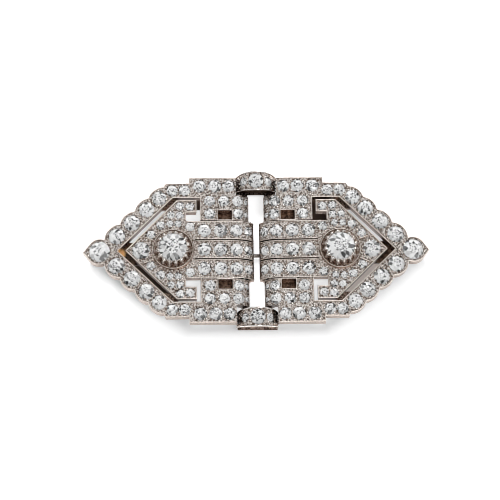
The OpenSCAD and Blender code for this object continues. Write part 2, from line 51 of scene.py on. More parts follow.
# Sizes, as part.scad names them
clip_l, clip_gap, half_h, plate_t = 32.5, 1.1, 14.3, 1.8
front_z, crown_x, tip_drop, kink = 6.0, 12.0, 1.45, 3.0
band_w, band_flat_x, band_roll_r = 3.75, 3.75, 4.4
side_step, side_l, side_flat_x, side_roll_r = 0.9, 9.2, 4.0, 3.1
open_x, open_l, open_w, open_rim = 3.2, 2.7, 1.9, 0.22
bar_w, bar_l, bar_gap, shoulder_step = 3.4, 8.95, 0.12, 1.1
slot_in, slot_w, arm_l, arm_w = 4.0, 1.0, 5.3, 0.6
leg_w, foot_l, foot_w = 0.8, 2.85, 1.75
tip_l, tip_reach, border_w, rim_w, scallop_r = 6.65, 3.15, 4.4, 0.5, 3.0
centre_d, collet_wall, collet_flare, collet_h = 5.3, 0.45, 0.45, 1.9
ring_r, ring_h, flutes = 3.7, 0.35, 16
table_share, crown_share, pavilion_share, girdle_sink = 0.54, 0.17, 0.4, 0.15
bridge_r, bridge_w, bridge_taper, bridge_gap, bridge_rise = 3.95, 3.8, 0.65, 0.6, 0.8
bridge_stone_d, bridge_side_d, bridge_side_a = 2.9, 1.7, 38.0
groove_l, band_past, side_row_back, roll_low = 11.2, 0.8, 0.2, 2.85

# Places that follow from them, worked out as in part.scad
gap_x = clip_gap / 2
side_x = gap_x + side_step
leg_x = side_x + side_l
corner_x = leg_x + arm_l
shoulder_x = leg_x + 1.26 * arm_l
centre_x = leg_x + 0.99 * arm_l
tip_x = gap_x + clip_l
apex_x = tip_x - tip_l
groove_end = gap_x + groove_l
band_edge = 1.5 * band_w
slot_top = half_h - slot_in
bar_in = half_h - bar_w
shoulder = half_h - shoulder_step
bridge_in = bar_in + bridge_gap
bridge_y = bridge_in + bridge_w / 2
bridge_mid_z = front_z + bridge_rise - bridge_r
slant_l = math.hypot(corner_x - apex_x, slot_top)
slant_x = (corner_x - apex_x) / slant_l
slant_y = slot_top / slant_l
inner_apex_x = apex_x - slot_w / slant_y
inner_corner_y = slot_top - arm_w
inner_corner_x = inner_apex_x + inner_corner_y * (corner_x - apex_x) / slot_top
dome_r = ((tip_x - crown_x) ** 2 + tip_drop ** 2) / (2 * tip_drop)
dome_mid_z = front_z - dome_r
# The rolls that turn the face down at the gap: where each starts, and its radius
BAND = (band_flat_x, band_roll_r)
SIDE = (side_flat_x, side_roll_r)
# Sine of the steepest lean that a roll's face is given
STEEPEST = 0.999


def dome_z(x):
    """Height of the large cylinder that a clip's face lies on."""
    return dome_mid_z + math.sqrt(dome_r ** 2 - (x - crown_x) ** 2)


def roll_mid(roll):
    """x and height of the axis that a roll is drawn round."""
    start, r = roll
    lean = math.asin((start - crown_x) / dome_r) - math.radians(kink)
    return start - r * math.sin(lean), dome_z(start) - r * math.cos(lean)


def height_and_lean(x, roll):
    """Height of a clip's face, and its lean in radians."""
    start, r = roll
    if x >= start:
        return dome_z(x), math.asin((x - crown_x) / dome_r)
    mid_x, mid_z = roll_mid(roll)
    lean = math.asin(max(-STEEPEST, (x - mid_x) / r))
    return mid_z + r * math.cos(lean), lean


def spot(x, y, h, roll):
    """The point h over a clip's face."""
    z, lean = height_and_lean(x, roll)
    return Vector((x + h * math.sin(lean), y, z + h * math.cos(lean)))


def on_face(x, y, h, roll):
    """Frame whose z runs out of a clip's face, h over it."""
    _, lean = height_and_lean(x, roll)
    return Matrix.Translation(spot(x, y, h, roll)) @ Matrix.Rotation(lean, 4, "Y")


def by_slant(along, out):
    """The place that far along the slot's slanted edge, and that far out from it."""
    return apex_x + slant_x * along + slant_y * out, slant_y * along - slant_x * out


def halves(rows):
    """Stones of the upper half, and the same stones in the lower half."""
    return rows + [(x, -y, d, roll) for x, y, d, roll in rows]


bar_low = dome_z(side_flat_x) - plate_t
bar_x = math.sqrt(bridge_r ** 2 - (bar_low - bridge_mid_z) ** 2) + bar_gap
bar_end = bar_x + bar_l
band_l = leg_x + band_past - gap_x
side_row_in = band_edge + side_row_back
side_row_w = (bar_in - side_row_in) / 2
arrow_inset = slot_w + 0.085 * slant_l

# Where the stones sit, in the same shares as in part.scad
# Border: place along the slanted edge, place out (of border_w), diameter (the others of slant_l)
BORDER = [(0.130, 0.505, 0.220), (0.392, 0.455, 0.213), (0.652, 0.430, 0.206), (0.874, 0.400, 0.193)]
# Shoulder: place and diameter, of arm_l
SHOULDER = [(0.575, 0.43), (1.020, 0.43)]
# Bar: place and diameter, of bar_l
BAR = [(0.150, 0.268), (0.446, 0.285), (0.771, 0.285)]
# Side panel: place and diameter, of side_l, and row
SIDES = [(0.045, 0.130, 0), (0.2065, 0.225, 0), (0.810, 0.240, 0), (0.045, 0.130, 1), (0.220, 0.240, 1),
         (0.516, 0.240, 1), (0.810, 0.240, 1)]
# Band: place and diameter, of band_l
BANDS = [(0.084, 0.175), (0.299, 0.225), (0.576, 0.238), (0.859, 0.238)]
# Arrow panel's box: place along (of arm_l), place up and diameter (of slot_top)
ARROW_BOX = [(0.377, 0.825, 0.170), (0.736, 0.840, 0.165), (0.745, 0.665, 0.150), (1.062, 0.670, 0.145),
             (0.377, 0.437, 0.180), (0.802, 0.500, 0.140), (1.104, 0.500, 0.140)]
# Arrow panel's slanted row: place and diameter, of slant_l
ARROW_SLANT = [(0.630, 0.120), (0.452, 0.120)]

# Each stone is its place x and y, its diameter, and the roll that its face follows
border_up = [(*by_slant(along * slant_l, out * border_w), d * slant_l, SIDE) for along, out, d in BORDER]
shoulder_y = slot_top + 0.5 * (shoulder - slot_top)
shoulder_up = [(leg_x + place * arm_l, shoulder_y, d * arm_l, SIDE) for place, d in SHOULDER]
bar_up = [(bar_x + place * bar_l, half_h - bar_w / 2, d * bar_l, SIDE) for place, d in BAR]
side_up = [(side_x + place * side_l, side_row_in + (row + 0.5) * side_row_w, d * side_l, SIDE)
           for place, d, row in SIDES]
bands = [(gap_x + place * band_l, row * band_w, d * band_l, BAND) for row in (-1, 0, 1) for place, d in BANDS]
arrow_up = [(leg_x + along * arm_l, up * slot_top, d * slot_top, SIDE) for along, up, d in ARROW_BOX]
arrow_up += [(*by_slant(along * slant_l, -arrow_inset), d * slant_l, SIDE) for along, d in ARROW_SLANT]
fields = {
    "border": halves(border_up + shoulder_up),
    "bar": halves(bar_up),
    "side": halves(side_up),
    "band": bands,
    "arrow": halves(arrow_up),
}
tip_stone = (tip_x - tip_reach, 0, 0.605 * tip_l, SIDE)
inner_tip_room = inner_apex_x - centre_x - ring_r
inner_tip_stone = (centre_x + ring_r + 0.445 * inner_tip_room, 0, 0.63 * inner_tip_room, SIDE)
all_stones = [stone for rows in fields.values() for stone in rows] + [tip_stone, inner_tip_stone]


# Meshes
class Shell:
    """Gathers vertices and faces, in millimetres, with a shade for each face."""

    def __init__(self):
        self.verts = []
        self.faces = []
        self.shades = []
        self.smooth = []

    def add(self, verts, faces, place=None, shade=0.5, smooth=False):
        """Adds faces, all of one shade or with a list of shades."""
        first = len(self.verts)
        self.verts += [Vector(p) if place is None else place @ Vector(p) for p in verts]
        self.faces += [[first + i for i in face] for face in faces]
        self.shades += shade if isinstance(shade, list) else [shade] * len(faces)
        self.smooth += [smooth] * len(faces)

    def make(self, name, material, slot, mirror=False, replaces=()):
        """Makes one piece of all that was gathered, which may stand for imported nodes."""
        sign = -1 if mirror else 1
        faces = [face[::-1] for face in self.faces] if mirror else self.faces
        mesh = bpy.data.meshes.new(name)
        mesh.from_pydata([(sign * p.x * MM, p.y * MM, p.z * MM) for p in self.verts], [], faces)
        mesh.polygons.foreach_set("use_smooth", self.smooth)
        tone = mesh.attributes.new("tone", "FLOAT", "FACE")
        tone.data.foreach_set("value", self.shades)
        mesh.update()
        mesh.materials.append(material)
        piece = bpy.data.objects.new(name, mesh)
        bpy.context.scene.collection.objects.link(piece)
        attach(piece, "root")
        if replaces:
            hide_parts(*replaces)


def arc(x, y, r, first, last, steps):
    """Points of an arc from the angle first to the angle last, in degrees."""
    angles = [math.radians(first + (last - first) * k / steps) for k in range(steps + 1)]
    return [(x + r * math.cos(a), y + r * math.sin(a)) for a in angles]


def sheet(rows, columns, closed=False):
    """Faces between rows of vertices that were added row by row."""
    faces = []
    for i in range(rows if closed else rows - 1):
        j = (i + 1) % rows
        for k in range(columns - 1):
            faces.append([i * columns + k, i * columns + k + 1, j * columns + k + 1, j * columns + k])
    return faces


def wobble(most):
    """A lean of at most that many degrees each way, drawn at random."""
    return (Matrix.Rotation(math.radians(rng.uniform(-most, most)), 4, "X")
            @ Matrix.Rotation(math.radians(rng.uniform(-most, most)), 4, "Y"))


# Stones. Shares of the diameter: half the girdle, and how far facets under the table stand off flat
GIRDLE, UNEVEN = 0.012, 0.012
# Shares of the radius: the star facets' points and the bend in the pavilion. Share of its depth: the bend
STAR_R, BEND_R, BEND_DEPTH = 0.77, 0.42, 0.6
# How finely stones are cut: the diameter that each kind stays under, the sides of the table, and the
# radii of the rings of facets seen through it as shares of its own
CUTS = [(2.6, 8, (0.66, 0.33)), (4.5, 10, (0.72, 0.46, 0.22)), (9.0, 16, (0.8, 0.6, 0.4, 0.2))]
# How bright the facets are, as painted glints, each drawn from this list: few dark, many light
GLINTS = [0.06, 0.2, 0.4, 0.58, 0.72, 0.84, 0.94, 1.0, 1.0]
# How far one stone's and one facet's brightness may differ from that, and the least share of its size
STONE_SPREAD, FACET_SPREAD, LEAST_SIZE = 0.08, 0.06, 0.985
# How far the stones are raised over the imported ones, and how far the painted glints of the half barrels'
# stones are darkened
STONE_LIFT, CENTRE_LIFT, BRIDGE_DIM = 0.04, 0.02, 0.14


def cut_stone(d, sides, inner):
    """Old cut stone with its girdle at z = 0. Its table is broken up by the facets seen through it."""
    r = d / 2
    table_r = table_share * r
    crown = crown_share * d
    star_r = STAR_R * r
    star_z = crown * (r - star_r * math.cos(math.pi / sides)) / (r - table_r)
    edges = 2 * sides
    verts = []
    faces = []

    def ring(count, radius, z, turn=0.0, loose=0.0):
        start = len(verts)
        for k in range(count):
            a = 2 * math.pi * (k + turn) / count
            verts.append((radius * math.cos(a), radius * math.sin(a), z + rng.uniform(-loose, loose) * d))
        return start

    table = ring(sides, table_r, crown)
    star = ring(sides, star_r, star_z, 0.5)
    upper = ring(edges, r, GIRDLE * d)
    lower = ring(edges, r, -GIRDLE * d)
    bend = ring(sides, BEND_R * r, -pavilion_share * d * BEND_DEPTH, 0.5)
    culet = ring(1, 0.0, -pavilion_share * d)
    outer = table
    turned = False
    for share in inner:
        turned = not turned
        inside_ring = ring(sides, share * table_r, crown, 0.5 if turned else 0.0, UNEVEN)
        for k in range(sides):
            j = (k + 1) % sides
            if turned:
                faces.append([outer + k, outer + j, inside_ring + k])
                faces.append([outer + j, inside_ring + j, inside_ring + k])
            else:
                faces.append([outer + k, outer + j, inside_ring + j])
                faces.append([outer + k, inside_ring + j, inside_ring + k])
        outer = inside_ring
    middle = ring(1, 0.0, crown, 0.0, UNEVEN)
    for k in range(sides):
        j = (k + 1) % sides
        faces.append([outer + k, outer + j, middle])
        faces.append([table + k, star + k, table + j])
        faces.append([table + k, star + (k - 1) % sides, upper + 2 * k, star + k])
        faces.append([star + k, upper + 2 * k, upper + 2 * k + 1])
        faces.append([star + k, upper + 2 * k + 1, upper + (2 * k + 2) % edges])
    for k in range(edges):
        j = (k + 1) % edges
        faces.append([upper + k, lower + k, lower + j, upper + j])
    for k in range(sides):
        faces.append([lower + 2 * k, bend + k, lower + 2 * k + 1])
        faces.append([lower + 2 * k + 1, bend + k, lower + (2 * k + 2) % edges])
        faces.append([bend + (k - 1) % sides, culet, bend + k, lower + 2 * k])
    return verts, faces


def set_stone(shell, place, d, lean=2.5, dim=0.0):
    """Adds a cut stone, turned at random and leaning by at most lean degrees, each facet with its shade as a
    painted glint.
    """
    sides, inner = next((sides, inner) for widest, sides, inner in CUTS if d < widest)
    verts, faces = cut_stone(d * rng.uniform(LEAST_SIZE, 1.0), sides, inner)
    turn = Matrix.Rotation(rng.uniform(0, 2 * math.pi), 4, "Z")
    base = rng.uniform(-STONE_SPREAD, STONE_SPREAD) - dim
    shades = []
    for _ in faces:
        shade = base + rng.choice(GLINTS) + rng.uniform(-FACET_SPREAD, FACET_SPREAD)
        shades.append(min(1.0, max(0.0, shade)))
    shell.add(verts, faces, place @ wobble(lean) @ turn, shades)


# Grains. Height as a share of the radius, sides, rings, and the angle in radians by which the lowest
# ring lies under the face
GRAIN_RISE, GRAIN_SIDES, GRAIN_RINGS, GRAIN_SINK = 0.6, 7, 3, 0.15


def bead(shell, place, r):
    """Low dome of metal, raised over the face."""
    verts = []
    faces = []
    for k in range(GRAIN_RINGS):
        up = math.pi / 2 * k / GRAIN_RINGS - GRAIN_SINK
        for j in range(GRAIN_SIDES):
            a = 2 * math.pi * (j + 0.5 * k) / GRAIN_SIDES
            flat_r = r * math.cos(up)
            verts.append((flat_r * math.cos(a), flat_r * math.sin(a), GRAIN_RISE * r * math.sin(up)))
    top = len(verts)
    verts.append((0, 0, GRAIN_RISE * r))
    for k in range(GRAIN_RINGS - 1):
        low, high = k * GRAIN_SIDES, (k + 1) * GRAIN_SIDES
        for j in range(GRAIN_SIDES):
            after = (j + 1) % GRAIN_SIDES
            faces.append([low + j, low + after, high + j])
            faces.append([low + after, high + after, high + j])
    last = top - GRAIN_SIDES
    for j in range(GRAIN_SIDES):
        faces.append([last + j, last + (j + 1) % GRAIN_SIDES, top])
    shell.add(verts, faces, place, rng.random(), True)


# Rims. Section over the face: place across (of the width) and height (of the rim's)
RIM_SECTION = [(-0.5, 0.55), (-0.28, 0.92), (0, 1.0), (0.28, 0.92), (0.5, 0.55)]
# How deep a rim's foot lies in the metal, how long its pieces are, and where a rim stops at the gap
RIM_FOOT, RIM_STEP, RIM_LEAST_X = 0.1, 0.45, gap_x + 0.01
# A rim is widened at a corner by one over this at most
MITER = 0.45


def resample(points, closed, step):
    """The same line with a point at least every step."""
    out = []
    count = len(points)
    for i in range(count if closed else count - 1):
        (x0, y0), (x1, y1) = points[i], points[(i + 1) % count]
        pieces = max(1, int(math.ceil(math.hypot(x1 - x0, y1 - y0) / step)))
        out += [(x0 + (x1 - x0) * j / pieces, y0 + (y1 - y0) * j / pieces) for j in range(pieces)]
    if not closed:
        out.append(points[-1])
    return out


def across(points, i, closed):
    """Direction across a line at its point i, longer at a corner so that a rim keeps its width."""
    x, y = points[i]
    runs = []
    if i > 0 or closed:
        x0, y0 = points[i - 1]
        runs.append((x - x0, y - y0))
    if i < len(points) - 1 or closed:
        x1, y1 = points[(i + 1) % len(points)]
        runs.append((x1 - x, y1 - y))
    runs = [Vector(run).normalized() for run in runs if run != (0, 0)]
    normals = [Vector((-run.y, run.x)) for run in runs]
    mean = (normals[0] + normals[-1]).normalized()
    return mean / max(MITER, mean.dot(normals[0]))


def rail(shell, points, roll, w, h, shift=0.0, closed=False):
    """Thin raised rim along a line on a clip's face, rounded on top and moved to the line's left by shift."""
    points = resample(points, closed, RIM_STEP)
    section = [(-0.5, -RIM_FOOT / h)] + RIM_SECTION + [(0.5, -RIM_FOOT / h)]
    verts = []
    for i, (x, y) in enumerate(points):
        sideways = across(points, i, closed)
        for place, level in section:
            off = place * w + shift
            verts.append(spot(max(x + sideways.x * off, RIM_LEAST_X), y + sideways.y * off, level * h, roll))
    columns = len(section)
    faces = sheet(len(points), columns, closed)
    if not closed:
        faces.append(list(range(columns))[::-1])
        faces.append(list(range(len(verts) - columns, len(verts))))
    shell.add(verts, faces, smooth=True)


# Fillet between a side panel and the outer band: radius, how far it reaches in, and how its top falls
FILLET_R, FILLET_IN, FILLET_FALL = 0.62, 0.05, 0.6


def fillet(shell, s):
    """Fills the inner corner between a side panel and the outer band with a hollow quarter round."""
    hollow = arc(side_x - FILLET_R, band_edge + FILLET_R, FILLET_R, 0, -90, 8)
    loop = [(side_x + FILLET_IN, band_edge - FILLET_IN)] + hollow
    top_z, _ = height_and_lean(side_x, SIDE)
    top = [(x, s * y, top_z - FILLET_FALL * (side_x - x)) for x, y in loop]
    low = [(x, y, roll_low) for x, y, _ in top]
    n = len(loop)
    faces = [[0, k, k + 1] for k in range(1, n - 1)]
    faces += [[n, n + k + 1, n + k] for k in range(1, n - 1)]
    faces += [[k, n + k, n + (k + 1) % n, (k + 1) % n] for k in range(n)]
    if s < 0:
        faces = [face[::-1] for face in faces]
    shell.add(top + low, faces, shade=0.4)


# Ribs of the collet: width, how proud they stand and how far they reach in. Claws on their ends: radius,
# and how far they lie in from the collet's edge and under its top
RIB_W, RIB_PROUD, RIB_IN = 0.46, 0.1, 0.1
CLAW_R, CLAW_IN, CLAW_UNDER = 0.26, 0.18, 0.02
# Section of a rib: place across (of its half width), how far out, and how far up
RIB_SECTION = [(-1, -RIB_IN, 0), (-0.6, RIB_PROUD, 0.4 * RIB_PROUD), (0.6, RIB_PROUD, 0.4 * RIB_PROUD),
               (1, -RIB_IN, 0)]


def collet_ribs(shell):
    """Bright ribs between the collet's flutes, each with its claw over the stone's edge."""
    top_r = centre_d / 2 + collet_wall
    foot_r = top_r + collet_flare
    base = Matrix.Translation((centre_x, 0, dome_z(centre_x)))
    claw = Matrix.Translation((top_r - CLAW_IN, 0, collet_h - CLAW_UNDER))
    # Radius, height and half width of a rib, from its foot to its end over the stone
    rows = [(foot_r, ring_h - 0.05, RIB_W / 2), (top_r, collet_h - 0.1, RIB_W / 2.4),
            (top_r - 0.2, collet_h + 0.08, RIB_W / 3), (top_r - 0.48, collet_h + 0.1, RIB_W / 5)]
    verts = []
    for r, z, half_w in rows:
        verts += [(r + out, place * half_w, z + up) for place, out, up in RIB_SECTION]
    columns = len(RIB_SECTION)
    faces = sheet(len(rows), columns)
    faces.append(list(range(len(verts) - columns, len(verts))))
    for k in range(flutes):
        turn = base @ Matrix.Rotation(2 * math.pi * (k + 0.5) / flutes, 4, "Z")
        shell.add(verts, faces, turn, rng.uniform(0.45, 1.0), True)
        bead(shell, turn @ claw, CLAW_R)


# Where the metal is, for the rims and grains. Distances greater than this aren't told apart
FAR = 9.0


def inside(outline, x, y):
    """True where a place lies inside a closed outline."""
    hit = False
    for i in range(len(outline)):
        (x0, y0), (x1, y1) = outline[i - 1], outline[i]
        if (y0 > y) != (y1 > y) and x < (x1 - x0) * (y - y0) / (y1 - y0) + x0:
            hit = not hit
    return hit


def distance_to(outline, x, y, closed=True):
    """Distance to a line, or FAR where it is further away."""
    best = FAR
    for i in range(0 if closed else 1, len(outline)):
        (x0, y0), (x1, y1) = outline[i - 1], outline[i]
        dx, dy = x1 - x0, y1 - y0
        along = ((x - x0) * dx + (y - y0) * dy) / (dx * dx + dy * dy + 1e-12)
        along = max(0.0, min(1.0, along))
        best = min(best, math.hypot(x0 + along * dx - x, y0 + along * dy - y))
    return best


# Upper half of the slot's outer edge and of its inner edge, each from the axis to the foot
slot_outer = [(apex_x, 0), (corner_x, slot_top), (leg_x, slot_top), (leg_x, band_edge)]
slot_inner = [(inner_apex_x, 0), (inner_corner_x, inner_corner_y), (leg_x + leg_w, inner_corner_y),
              (leg_x + leg_w, band_edge + foot_w), (leg_x + foot_l, band_edge + foot_w),
              (leg_x + foot_l, band_edge)]
slot_outline = slot_outer + slot_inner[::-1]
open_start, open_end = side_x + open_x, side_x + open_x + open_l
open_low, open_high = band_edge + open_rim, band_edge + open_rim + open_w
opening = [(open_start, open_low), (open_end, open_low), (open_end, open_high), (open_start, open_high)]
# The upper half's straight outer edge, from the band to the first scallop, and the body that the
# scallops stand on
straight_edge = [(side_x, band_edge), (side_x, bar_in), (bar_x, bar_in), (bar_x, half_h), (bar_end, half_h),
                 (bar_end, shoulder), (shoulder_x, shoulder)]
border_places = [(x, y) for x, y, _, _ in reversed(border_up)]
core = [(side_x, -1)] + straight_edge[1:] + border_places + [(tip_stone[0], -1)]
# How far below the shoulder the first scallop may start on its near side
SCALLOP_DROP = 1.2
# Each scallop is looked at from the first angle to the last, in degrees, in that many steps
SCALLOP_FIRST, SCALLOP_LAST, SCALLOP_STEPS = 150, -30, 72
# Points closer than this count as touching
TOUCHING = 1e-6


def clip_outline():
    """Outer outline of a clip's upper half, from the band round the bar and the scallops to the point."""
    circles = []
    for x, y, d, _ in reversed(border_up):
        inward = scallop_r - d / 2 - rim_w
        circles.append((x - inward * slant_y, y + inward * slant_x, scallop_r))
    middle_x, _, d, _ = tip_stone
    tip_r = d / 2 + rim_w
    touch = math.acos(tip_r / (tip_x - middle_x))
    circles.append((middle_x, 0.0, tip_r))
    out = list(straight_edge)
    for i, (cx, cy, r) in enumerate(circles):
        others = circles[:i] + circles[i + 1:]
        for x, y in arc(cx, cy, r, SCALLOP_FIRST, SCALLOP_LAST, SCALLOP_STEPS):
            below = y < -0.01
            covered = any(math.hypot(x - ox, y - oy) < other_r - TOUCHING for ox, oy, other_r in others)
            before_start = i == 0 and x < cx and y < shoulder - SCALLOP_DROP
            past_touch = x > middle_x and math.atan2(y, x - middle_x) < touch
            if not (below or covered or before_start or past_touch or inside(core, x, y)):
                out.append((x, y))
    return out + [(tip_x, 0.0)]


outline_up = clip_outline()
body_outline = outline_up + [(tip_x, -1), (side_x, -1)]


# Half the width kept clear along a groove, and the x up to which a band has nothing but grooves in it
GROOVE_HALF, ROLLED_X = 0.1, side_flat_x + 1


def on_metal(x, y, margin):
    """True where a clip's face is metal, at least margin from each edge."""
    y = abs(y)
    groove = abs(y - band_w / 2) < margin + GROOVE_HALF
    if x < gap_x + margin:
        return False
    if y < band_edge and x < ROLLED_X:
        return not groove
    if y >= band_edge and x < side_x + margin:
        return False
    if not inside(body_outline, x, y) or distance_to(outline_up, x, y, False) < margin:
        return False
    if inside(slot_outline, x, y) or distance_to(slot_outline, x, y, False) < margin:
        return False
    if inside(opening, x, y) or distance_to(opening, x, y) < margin:
        return False
    if x < groove_end + margin and groove:
        return False
    if side_x < x < leg_x and abs(y - band_edge) < margin + GROOVE_HALF:
        return False
    return math.hypot(x - centre_x, y) > ring_r + margin


# Materials
class Wiring:
    """The nodes of a material or of the world, with short ways to add and join them."""

    def __init__(self, tree):
        self.nodes = tree.nodes
        self.links = tree.links

    def add(self, kind, inputs=None, **settings):
        """Adds a node. Each of its inputs is a value, or the output that it is joined to."""
        node = self.nodes.new(kind)
        for name, value in settings.items():
            setattr(node, name, value)
        for name, value in (inputs or {}).items():
            if isinstance(value, bpy.types.NodeSocket):
                self.links.new(value, node.inputs[name])
            else:
                node.inputs[name].default_value = value
        return node

    def ramp(self, value, stops):
        """Colour that follows a value, from stops that are a place and a colour each."""
        node = self.add("ShaderNodeValToRGB", {"Fac": value})
        elements = node.color_ramp.elements
        while len(elements) < len(stops):
            elements.new(0.5)
        for element, (place, colour) in zip(elements, stops):
            element.position = place
            element.color = (*colour, 1)
        return node.outputs["Color"]

    def multiply(self, first, second):
        """Product of two colours."""
        inputs = {"Factor": 1.0, 6: first, 7: second}
        return self.add("ShaderNodeMix", inputs, data_type="RGBA", blend_type="MULTIPLY").outputs[2]


WHITE, BLACK = (1, 1, 1), (0, 0, 0)
GILDING = (1.0, 0.60, 0.26, 1)
# Painted shade for the upright walls of gold and wire
WARM_WALL_SHADE = (0.36, 0.28, 0.24)
# Painted shade in crevices: colour by how open a point is, dark brown deep in, none in the open
PAINTED_CREVICE_SHADE = [(0.15, (0.10, 0.06, 0.04)), (0.5, (0.52, 0.42, 0.36)), (0.85, WHITE)]
TONES = [(0.0, (0.14, 0.10, 0.08)), (0.38, (0.66, 0.60, 0.56)), (0.5, WHITE)]
# Depth of the dents in metal, in metres
DENT = 0.00008


def greys(stops):
    """Stops of grey for a ramp, from a place and a brightness each."""
    return [(place, (level, level, level)) for place, level in stops]


def new_material(name):
    """A new material, the wiring of its nodes, and the inputs of its surface."""
    material = bpy.data.materials.new(name)
    material.use_nodes = True
    return material, Wiring(material.node_tree), material.node_tree.nodes["Principled BSDF"].inputs


def metal(name, light, dark, wall, rough, speckle=3000.0, dents=0.5, reach=2.0, toned=False, painted_dark_walls=False):
    """Worn polished metal: speckled, with fine dents, and painted brown shade in its crevices and down its
    walls.

    The painted crevice shade reaches that many millimetres. A toned metal takes the shade of each face,
    and one with painted dark walls has its walls painted as unlit shade, dark and without reflection.
    """
    material, wiring, surface = new_material(name)
    surface["Metallic"].default_value = 1.0
    surface["Specular IOR Level"].default_value = 0.0
    place = wiring.add("ShaderNodeTexCoord").outputs["Object"]
    texture = {"Scale": speckle, "Detail": 3.0, "Vector": place}
    noise = wiring.add("ShaderNodeTexNoise", texture).outputs["Fac"]
    # Painted shade: ambient occlusion darkens the colour in crevices, and upright walls are darkened too
    crevice_shade = wiring.add("ShaderNodeAmbientOcclusion", {"Distance": reach * MM}, samples=4).outputs["AO"]
    normal = wiring.add("ShaderNodeNewGeometry").outputs["True Normal"]
    upward = wiring.add("ShaderNodeSeparateXYZ", {"Vector": normal}).outputs["Z"]
    wall_from, wall_to = (0.02, 0.30) if painted_dark_walls else (0.15, 0.55)
    colour = wiring.ramp(noise, [(0.40, dark), (0.57, light)])
    colour = wiring.multiply(colour, wiring.ramp(crevice_shade, PAINTED_CREVICE_SHADE))
    colour = wiring.multiply(colour, wiring.ramp(upward, [(wall_from, wall), (wall_to, WHITE)]))
    # Painted dark walls also lose their metal reflection, as unlit shade
    if painted_dark_walls:
        wiring.links.new(wiring.ramp(upward, [(0.02, BLACK), (0.10, WHITE)]), surface["Metallic"])
    if toned:
        tone = wiring.add("ShaderNodeAttribute", attribute_name="tone").outputs["Fac"]
        colour = wiring.multiply(colour, wiring.ramp(tone, TONES))
    wiring.links.new(colour, surface["Base Color"])
    span = wiring.add("ShaderNodeMapRange", {"Value": noise, "To Min": rough * 0.6, "To Max": rough * 1.5})
    wiring.links.new(span.outputs["Result"], surface["Roughness"])
    bump = wiring.add("ShaderNodeBump", {"Strength": dents, "Distance": DENT, "Height": noise})
    wiring.links.new(bump.outputs["Normal"], surface["Normal"])
    return material


def add_gilding(material, x, y, reach):
    """Lays bright gilding over a metal painted dark as shade, within reach of a place on the plan."""
    wiring = Wiring(material.node_tree)
    colour = wiring.nodes["Principled BSDF"].inputs["Base Color"]
    shaded_base = colour.links[0].from_socket
    place = wiring.add("ShaderNodeTexCoord").outputs["Object"]
    plan = wiring.add("ShaderNodeVectorMath", {0: place, 1: (1, 1, 0)}, operation="MULTIPLY")
    ends = {0: plan.outputs["Vector"], 1: (x * MM, y * MM, 0)}
    away = wiring.add("ShaderNodeVectorMath", ends, operation="DISTANCE").outputs["Value"]
    span = {"Value": away, "From Min": reach * 0.6 * MM, "From Max": reach * MM, "To Min": 1.0, "To Max": 0.0}
    share = wiring.add("ShaderNodeMapRange", span).outputs["Result"]
    mix = wiring.add("ShaderNodeMix", {"Factor": share, 6: shaded_base, 7: GILDING}, data_type="RGBA")
    wiring.links.new(mix.outputs[2], colour)


def diamond(name, stops, clear_share):
    """Old cut stone: each facet's own share of light is painted into its colour as a glint, under a hard
    clear surface.
    """
    material, wiring, surface = new_material(name)
    tone = wiring.add("ShaderNodeAttribute", attribute_name="tone").outputs["Fac"]
    wiring.links.new(wiring.ramp(tone, greys(stops)), surface["Base Color"])
    surface["Roughness"].default_value = 0.03
    surface["IOR"].default_value = 2.2
    surface["Transmission Weight"].default_value = clear_share
    return material


def ground(name, colour, glow_colour, glow=0.0):
    """Dull ground that also glows by itself, as painted light."""
    material, wiring, surface = new_material(name)
    surface["Base Color"].default_value = (*colour, 1)
    surface["Roughness"].default_value = 0.9
    surface["Specular IOR Level"].default_value = 0.0
    surface["Emission Color"].default_value = (*glow_colour, 1)
    surface["Emission Strength"].default_value = glow
    return material, wiring, surface


# Each metal: its light and dark colours, the painted shade colour of its walls, and its roughness
platinum = metal("platinum", (1.0, 0.94, 0.89), (0.36, 0.30, 0.26), (0.52, 0.44, 0.39), 0.26)
# The bridges' metal is a darker copy of the platinum, as painted shade, its walls painted nearly black and
# unreflecting as shade
shaded_bridge_platinum = metal("shaded_bridge_platinum", (0.85, 0.79, 0.74), (0.30, 0.25, 0.22), (0.10, 0.07, 0.055), 0.26,
                        painted_dark_walls=True)
polished = metal("polished_platinum", (1.0, 0.98, 0.95), (0.78, 0.73, 0.69), (0.7, 0.62, 0.58), 0.16,
                 dents=0.2, reach=0.6, toned=True)
edging = metal("edge_platinum", (1.0, 0.93, 0.87), (0.80, 0.71, 0.65), (0.42, 0.33, 0.28), 0.38,
               dents=0.1, reach=0.3)
# The fitting's gold is painted dark as shade, since it lies deep under the plate
gold = metal("gold_in_painted_shade", (0.50, 0.40, 0.33), (0.12, 0.085, 0.065), WARM_WALL_SHADE, 0.3, speckle=1500.0)
wire = metal("pin_wire", (0.55, 0.52, 0.50), (0.36, 0.33, 0.31), WARM_WALL_SHADE, 0.3)
# The facets' painted glints, as grey stops from dark to near white
clear = diamond("old_cut_diamond", [(0.0, 0.02), (0.25, 0.22), (0.55, 0.66), (1.0, 0.96)], 0.35)
# The gilding shows at the point of the left clip's slot: how far in its middle is, and how far it reaches
GILDING_IN, GILDING_REACH = 0.35, 1.2
add_gilding(gold, -(apex_x - GILDING_IN), 0, GILDING_REACH)

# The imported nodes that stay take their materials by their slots
made_of = {"setting": platinum, "frame": shaded_bridge_platinum, "fitting": gold, "pin": wire}
slot_of = {part["node"]: part["material_slot"] for part in frame["record"]["subparts"]}
for name, node in frame["nodes"].items():
    material = made_of.get(slot_of[name], clear)
    if not node.data.materials:
        node.data.materials.append(material)
    for k in range(len(node.data.materials)):
        node.data.materials[k] = material


